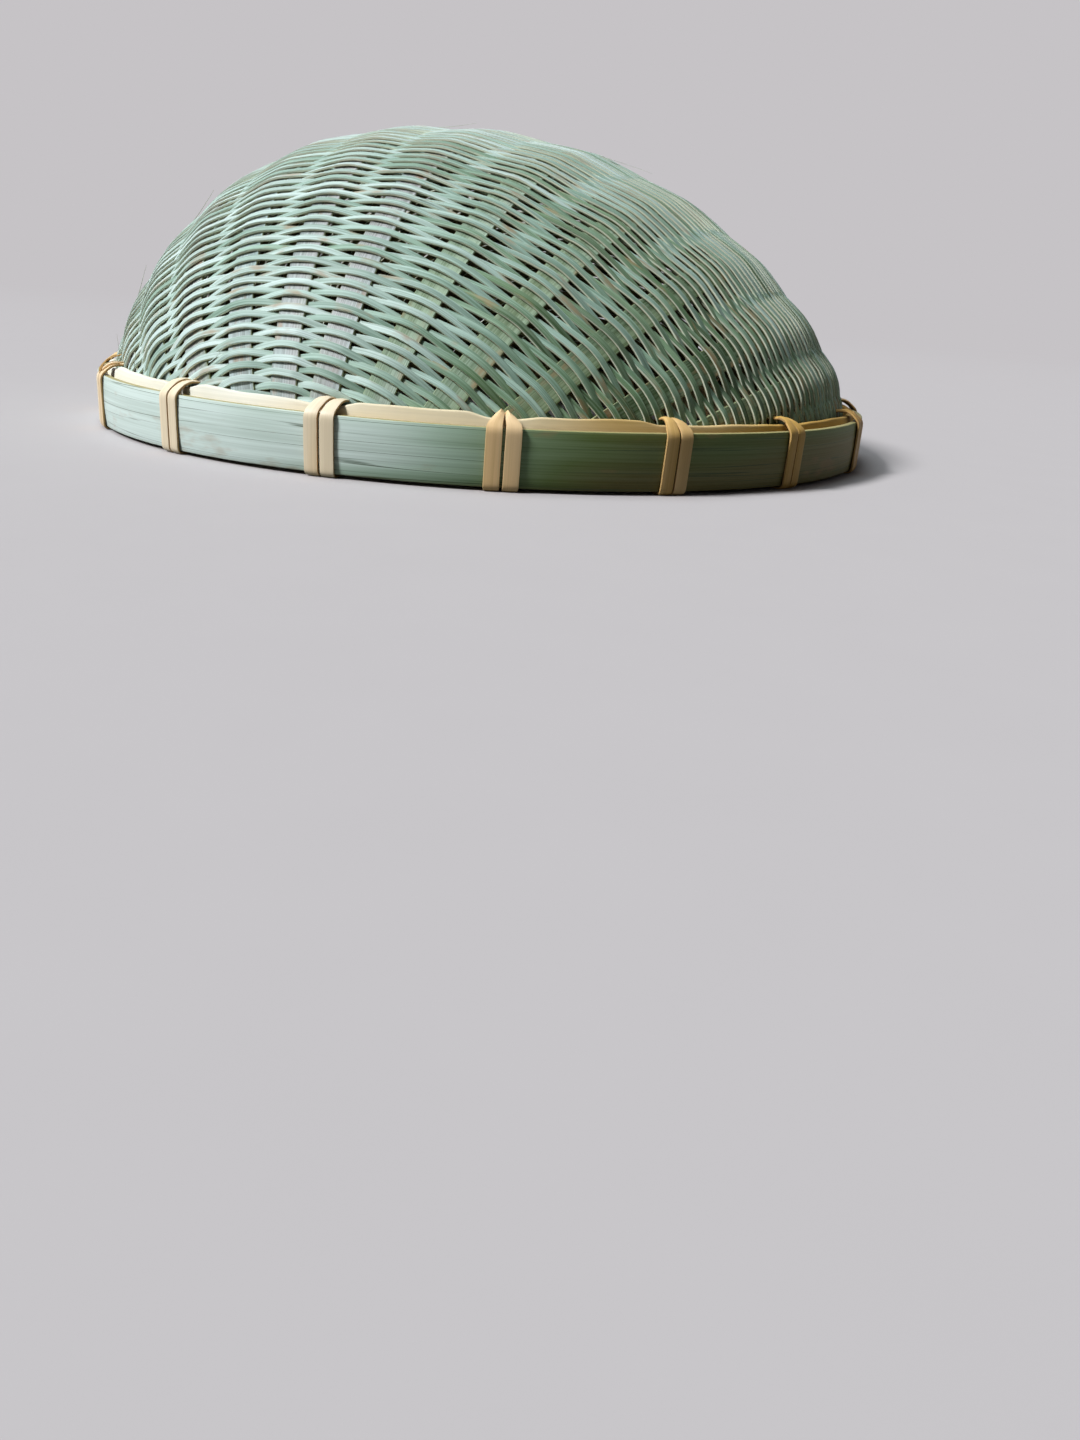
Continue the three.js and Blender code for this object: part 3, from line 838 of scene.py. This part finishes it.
def make_hoop(name, node, finish, inner, thickness, bulge, joint, number, rough, palest):
    """A strip bent into a ring, whose two tapered ends lap each other. It is palest at one angle and
    shifts in tint away from it; on the outer hoop that is a greener, darker skin, partly its own tone
    and partly painted light and shade. Its upper edge and its outer face are a little uneven.
    """
    hoop = Loft()
    span = thickness - SCARF_GAP - 2 * SCARF_TIP
    for degrees in np.linspace(TIP_ROOM, 360 + SCARF_SWEEP - TIP_ROOM, HOOP_STATIONS):
        angle = math.radians(joint + degrees)
        start_share = min(degrees / SCARF_SWEEP, 1)
        end_share = max((degrees - 360) / SCARF_SWEEP, 0)
        low_edge = (SCARF_TIP + SCARF_GAP + span * end_share) if degrees > 360 else 0.0
        high_edge = (SCARF_TIP + span * start_share) if degrees < SCARF_SWEEP else thickness
        swell = bulge * (high_edge - low_edge) / thickness
        top = HOOP_TOP + rough * (math.sin(angle * 3 + number) + 0.6 * math.sin(angle * 7 + 2 * number))
        wave = rough * 0.7 * (math.sin(angle * 5 + number) + 0.5 * math.sin(angle * 13 + number))
        radius, height, across, face = hoop_section(
            inner + low_edge, inner + high_edge, HOOP_BOTTOM, top, swell)
        if SCARF_SWEEP <= degrees <= 360:
            radius = radius + wave * (face > 0.8)
        # The tint grows away from the given angle; on the outer hoop that is partly its own tone and
        # partly painted shade. It is also a little paler towards the top edge.
        turned = (math.degrees(angle) - palest + 180) % 360 - 180
        tint_by_angle = smooth((abs(turned) - 10) / 66) - 0.5 * smooth((abs(turned) - 115) / 65)
        if turned < 0:
            tint_by_angle *= 0.5 + 0.5 * smooth((-turned - 110) / 70)
        hoop.ring(polar(radius, angle, height), along=angle * inner * MM, across=across, face=face,
                  strip=number, sideways=height * MM,
                  tint=0.04 + 0.8 * tint_by_angle - 0.012 * (height - 10))
    belongs(hoop.piece(name, finish, smooth_angle=0.7), node)


def plan_lashings():
    """The lashings in front, then the others, evenly over the rest of the rim."""
    first, last = FRONT_LASHINGS[0][0], FRONT_LASHINGS[-1][0]
    rest = 360 + first - last
    plan = list(FRONT_LASHINGS)
    for i in range(OTHER_LASHINGS):
        angle = last + rest * (i + 1) / (OTHER_LASHINGS + 1)
        plan.append((angle, rng.uniform(4.3, 5.2), rng.uniform(0.3, 0.8), rng.uniform(-0.7, 0.7),
                     rng.uniform(-1.8, 1.8), rng.uniform(1.1, 1.9), rng.uniform(2.2, 3.6)))
    return plan


LASHINGS = plan_lashings()
LASHING_ANGLES = np.radians([lashing[0] for lashing in LASHINGS])
RISES = FRONT_RISES + [tuple(rng.uniform(2.0, 4.1, 2)) for _ in range(OTHER_LASHINGS)]


def filler_rise(angle):
    """How far the filler strip stands over the hoop: drawn down at every lashing."""
    turn = (angle - LASHING_ANGLES[0]) % (2 * math.pi)
    spots = (LASHING_ANGLES - LASHING_ANGLES[0]) % (2 * math.pi)
    stretch = int(np.searchsorted(spots, turn, side="right")) - 1
    following = spots[stretch + 1] if stretch + 1 < len(spots) else 2 * math.pi
    share = (turn - spots[stretch]) / (following - spots[stretch])
    left, right = RISES[stretch]
    free = left + (right - left) * share
    away = min(turn - spots[stretch], following - turn) * FILLER_OUTER
    before = RISES[stretch - 1][1]
    after = RISES[(stretch + 1) % len(RISES)][0]
    # Beside a lashing the strip is drawn down, and 12.5 mm away from it the strip stands free
    tied = min(before, left, 2.6) if share < 0.5 else min(right, after, 2.6)
    tied = 0.5 * tied + 0.9
    drift = 0.16 * math.sin(angle * 19 + 1) + 0.1 * math.sin(angle * 43 + 4)
    return tied + (free - tied + drift) * smooth((away - 3.5) / 9.0)


def make_filler():
    """The strip that covers the top of the clamped mat. Its top leans in over the mat. It is pale in
    front, tan and darker at the right, partly its own colour and partly painted shade, and between the
    two where its ends meet behind.
    """
    filler = Loft()
    inner = FILLER_OUTER - FILLER_THICKNESS
    sweep = 2 * math.pi - FILLER_GAP / FILLER_OUTER
    for step in range(FILLER_STEPS + 1):
        angle = math.radians(FILLER_JOINT) + sweep * step / FILLER_STEPS
        top = HOOP_TOP + filler_rise(angle)
        radius, height, across, _ = hoop_section(
            inner, FILLER_OUTER - 0.1, HOOP_BOTTOM + 0.3, top, bulge=0.0, corner=0.55, steps=5)
        lean = FILLER_LEAN * (0.7 + 0.3 * math.sin(angle * 8.5 + 2.0))
        tip = np.clip((height - 17.0) / 6.0, 0, 1)
        leaning = radius - lean * tip * (radius - inner) / FILLER_THICKNESS
        # The tint grows towards the right, a tan tone that is partly painted shade, and part way again
        # behind where the ends meet
        darker = 0.5 - 0.5 * math.cos(min(max(angle + 0.1, 0.0), 1.4) * math.pi / 1.4)
        darker *= 1 - 0.6 * smooth((angle - 2.0) / 2.0)
        darker += 0.4 * smooth((-1.2 - angle) / 1.07)
        filler.ring(polar(leaning, angle, height), along=angle * inner * MM, across=across * 0.5,
                    face=1.0, strip=FILLER_GRAIN, sideways=(radius - height) * MM,
                    tint=0.1 + 0.66 * darker + 0.06 * math.sin(angle * 11))
    piece = filler.piece("filler_strip_top", filler_cream, smooth_angle=1.2)
    belongs(piece, "filler_strip")


make_hoop("outer_hoop_skin", "outer_hoop", hoop_skin, inner=HOOP_RADIUS - HOOP_THICKNESS,
          thickness=HOOP_THICKNESS, bulge=HOOP_BULGE, joint=OUTER_SCARF, number=OUTER_HOOP_GRAIN,
          rough=0.12, palest=HOOP_PALEST)
make_hoop("inner_hoop_skin", "inner_hoop", inner_hoop_skin, inner=INNER_OUTER - INNER_THICKNESS,
          thickness=INNER_THICKNESS, bulge=INNER_BULGE, joint=INNER_SCARF, number=INNER_HOOP_GRAIN,
          rough=0.08, palest=INNER_PALEST)
make_filler()


def rounded(path, radius, steps=5):
    """Rounds the corners of a path of stops (radius, height, sideways offset, width)."""
    out = [path[0]]
    for before, corner, after in zip(path, path[1:], path[2:]):
        back = np.linalg.norm((corner - before)[:3])
        on = np.linalg.norm((after - corner)[:3])
        enter = corner + (before - corner) * min(radius / back, 0.45)
        leave = corner + (after - corner) * min(radius / on, 0.45)
        for share in np.linspace(0, 1, steps):
            out.append((1 - share) ** 2 * enter + 2 * share * (1 - share) * corner + share ** 2 * leave)
    out.append(path[-1])
    return np.array(out)


def dense(path, gap):
    """Adds stops so that none is farther than gap from the next."""
    out = [path[0]]
    for before, after in zip(path, path[1:]):
        parts = max(1, math.ceil(np.linalg.norm((after - before)[:3]) / gap))
        out.extend(before + (after - before) * (i + 1) / parts for i in range(parts))
    return np.array(out)


def lashing_path(angle, width, gap, lean, fold, neck, neck_width):
    """One strip wound twice: up through the weave, over the filler strip, down the outer face, under
    the rim and up its inner face again.
    """
    room = 0.1
    half = LASHING_THICKNESS / 2
    floor = half
    outer = HOOP_RADIUS + room + half
    inner = INNER_OUTER - INNER_THICKNESS - 0.3 - half
    crest = HOOP_TOP + filler_rise(angle) + room + half
    wrap = (width + gap) / 2

    def over_the_top(side):
        """One turn, from the inner side to the floor. The first turn laps over the second."""
        lap = 0.5 if side < 0 else 0.0
        top = side * neck + fold
        return [
            (inner, HOOP_TOP + 0.5, side * wrap, width),
            (MAT_RADIUS - 2.2, crest + 0.9, top, neck_width),
            (FILLER_OUTER - 2.2, crest + 1.3 + lap, top, neck_width),
            (FILLER_OUTER + 0.3, crest + 0.5 + lap, top + (side * wrap - top) * 0.3,
             neck_width + (width - neck_width) * 0.4),
            (outer - 1.0, HOOP_TOP + 0.9, side * wrap + fold * 0.15, width * 0.98),
            (outer, HOOP_TOP - 0.8, side * wrap + fold * 0.05, width),
            (outer, HOOP_TOP - 9, side * wrap + lean * 0.45, width * 1.01),
            (outer, floor + 1.0, side * wrap + lean, width),
            (outer - 1.2, floor, side * (wrap - 0.2) + lean * 1.1, width * 0.97),
        ]

    return np.array([
        (inner, HOOP_TOP - 8, -wrap, width),
        *over_the_top(-1),
        (inner + 1.0, floor, -wrap, width),
        (inner, floor + 1.0, -wrap, width),
        (inner, HOOP_TOP - 8.6, wrap, width),
        *over_the_top(1),
        (inner + LASHING_THICKNESS + 0.4, floor, wrap, width),
    ])


def add_loose_end(lashing, angle, index, tint, stops):
    """The end of a strip that sticks out by a lashing, as one more body of it."""
    gap, half = 0.6, 0.25
    path = np.array([(radius, HOOP_TOP + over, offset, width) for offset, radius, over, width in stops])
    path = dense(rounded(path, 2.0), gap)
    heading = unit(np.gradient(path[:, :2], axis=0))
    side, face = LOOSE_SECTION.T
    lashing.bodies.append([])
    for i, (radius, height, offset, width) in enumerate(path):
        turn = angle + (offset + side * width / 2) / HOOP_RADIUS
        out = radius - face * half * heading[i, 1]
        up = height + face * half * heading[i, 0]
        lashing.ring(polar(out, turn, up), along=i * gap * MM, across=side * 0.9,
                     face=np.where(face > 0, 1.0, -0.4), strip=LOOSE_END_GRAIN + index,
                     sideways=side * width / 2 * MM, tint=tint)


def make_lashing(index, degrees, *lay):
    """Two turns of a strip round the whole rim. Where the strip is drawn narrow it is folded up."""
    lashing = Loft()
    angle = math.radians(degrees)
    path = dense(rounded(lashing_path(angle, *lay), 1.3), 1.0)
    heading = unit(np.gradient(path[:, :2], axis=0))
    normal = np.stack([-heading[:, 1], heading[:, 0]], axis=-1)
    length = np.concatenate([[0], np.cumsum(np.linalg.norm(np.diff(path[:, :3], axis=0), axis=1))])
    tint = LASHING_TINTS[index] if index < len(LASHING_TINTS) else OTHER_LASHING_TINT
    side, face = LASHING_SECTION.T
    for i, (radius, height, offset, width) in enumerate(path):
        squeeze = max(0.0, 1 - width / lay[0])
        fold = squeeze * 1.3 * (0.35 - np.abs(side)) * np.where(face > 0, 1, 0.6)
        off = face * LASHING_THICKNESS / 2 + fold
        turn = angle + (offset + side * width / 2) / HOOP_RADIUS
        out = radius + off * normal[i, 0]
        up = np.maximum(height + off * normal[i, 1], 0.0)
        lashing.ring(polar(out, turn, up), along=length[i] * MM, across=side,
                     face=np.clip(face * 1.2, -1, 1), strip=LASHING_GRAIN + index,
                     sideways=side * width / 2 * MM, tint=tint)
    for tail_tint, stops in LOOSE_ENDS.get(index, []):
        add_loose_end(lashing, angle, index, tail_tint, stops)
    node = f"lashing_{index + 1:02d}"
    belongs(lashing.piece(node + "_strip", lashing_tan, smooth_angle=0.7), node)


for index, lay in enumerate(LASHINGS):
    make_lashing(index, *lay)


def place_camera():
    """Puts the camera so that the middle of the hoop's lower edge shows at AIM_PX."""
    aside = (AIM_PX[0] - PICTURE_PX[0] / 2) / FOCAL_PX
    down = (AIM_PX[1] - PICTURE_PX[1] / 2) / FOCAL_PX
    ray = Vector((aside, -down, -1)).normalized()
    right_in = ray.cross(Vector((0, 1, 0))).normalized()
    up_in = right_in.cross(ray)
    inside = Matrix((right_in, up_in, ray))
    spin = Matrix.Rotation(TURN, 3, "Z")
    ahead = spin @ Vector((0, math.cos(ELEVATION), -math.sin(ELEVATION)))
    level = spin @ Vector((1, 0, 0))
    upright = level.cross(ahead)
    right = math.cos(ROLL) * level + math.sin(ROLL) * upright
    up = -math.sin(ROLL) * level + math.cos(ROLL) * upright
    outside = Matrix((right, up, ahead)).transposed()
    spot = -ahead * DISTANCE * MM + Vector((0, 0, HOOP_BOTTOM * MM))
    camera = bpy.data.cameras.new("camera")
    camera.sensor_fit = "AUTO"
    camera.sensor_width = SENSOR
    camera.lens = SENSOR * FOCAL_PX / PICTURE_PX[1]
    camera.clip_start = 0.01
    holder = placed("camera", camera)
    holder.matrix_world = Matrix.Translation(spot) @ (outside @ inside).to_4x4()
    bpy.context.scene.camera = holder


def soft_sun(name, azimuth, elevation, strength, spread, colour):
    """Even light from far off. Its azimuth is from the camera's side towards picture right."""
    turn = math.radians(azimuth) + TURN
    tilt = math.radians(elevation)
    toward = Vector((math.sin(turn) * math.cos(tilt), -math.cos(turn) * math.cos(tilt), math.sin(tilt)))
    lamp = bpy.data.lights.new(name, "SUN")
    lamp.energy = strength
    lamp.angle = math.radians(spread)
    lamp.color = colour
    placed(name, lamp).rotation_euler = toward.to_track_quat("Z", "Y").to_euler()


def seen_as_background(start):
    """1 where the camera looks straight at it, or in a gloss or through a gap, and 0 for its light."""
    seen = start.node("ShaderNodeLightPath", output="Is Camera Ray")
    for kind in ("Is Glossy Ray", "Is Transmission Ray"):
        seen = seen.math("MAXIMUM", start.node("ShaderNodeLightPath", output=kind))
    return seen


def make_floor():
    """A pale cloth that fades into the backdrop and throws back little light."""
    material = bpy.data.materials.new("pale_floor")
    material.use_nodes = True
    tree = material.node_tree
    shader = tree.nodes["Principled BSDF"]
    start = Sock(tree)
    coordinates = start.node("ShaderNodeTexCoord", output="Object")
    grain = noise(start, coordinates, 40.0)
    seen = seen_as_background(start)
    colour = seen.mix(FLOOR_BOUNCE, grain.mix(FLOOR_DARK, FLOOR_PALE))
    tree.links.new(colour.socket, shader.inputs["Base Color"])
    shader.inputs["Roughness"].default_value = 0.9
    shader.inputs["Specular IOR Level"].default_value = 0.1
    away = start.node("ShaderNodeVectorMath", {"operation": "LENGTH"}, {0: coordinates}, "Value")
    glow = start.node("ShaderNodeEmission", None, {"Color": BACKDROP, "Strength": 1.0})
    cloth = Sock(tree, shader.outputs[0])
    both = start.node("ShaderNodeMixShader", None, {0: away.ease(*FADE) * seen, 1: cloth, 2: glow})
    tree.links.new(both.socket, tree.nodes["Material Output"].inputs[0])
    reach = 60.0
    corners = [(-reach, -reach, 0), (reach, -reach, 0), (reach, reach, 0), (-reach, reach, 0)]
    mesh = bpy.data.meshes.new("floor")
    mesh.from_pydata(corners, [], [(0, 1, 2, 3)])
    mesh.materials.append(material)
    placed("floor", mesh)


def make_world():
    """The backdrop, which gives only a little light."""
    world = bpy.data.worlds.new("studio")
    world.use_nodes = True
    tree = world.node_tree
    tree.nodes.clear()
    start = Sock(tree)
    seen = seen_as_background(start)
    soft = start.node("ShaderNodeBackground", None, {"Color": SOFT_LIGHT, "Strength": 0.04})
    backdrop = start.node("ShaderNodeBackground", None, {"Color": BACKDROP, "Strength": 1.0})
    both = start.node("ShaderNodeMixShader", None, {0: seen, 1: soft, 2: backdrop})
    out = tree.nodes.new("ShaderNodeOutputWorld")
    tree.links.new(both.socket, out.inputs[0])
    bpy.context.scene.world = world


place_camera()
soft_sun("window", azimuth=-70, elevation=44, strength=3.6, spread=14, colour=(0.94, 0.985, 1.0))
soft_sun("sky", azimuth=-130, elevation=70, strength=1.12, spread=36, colour=(0.84, 0.96, 1.0))
make_floor()
make_world()
bpy.context.scene.view_settings.view_transform = "Standard"
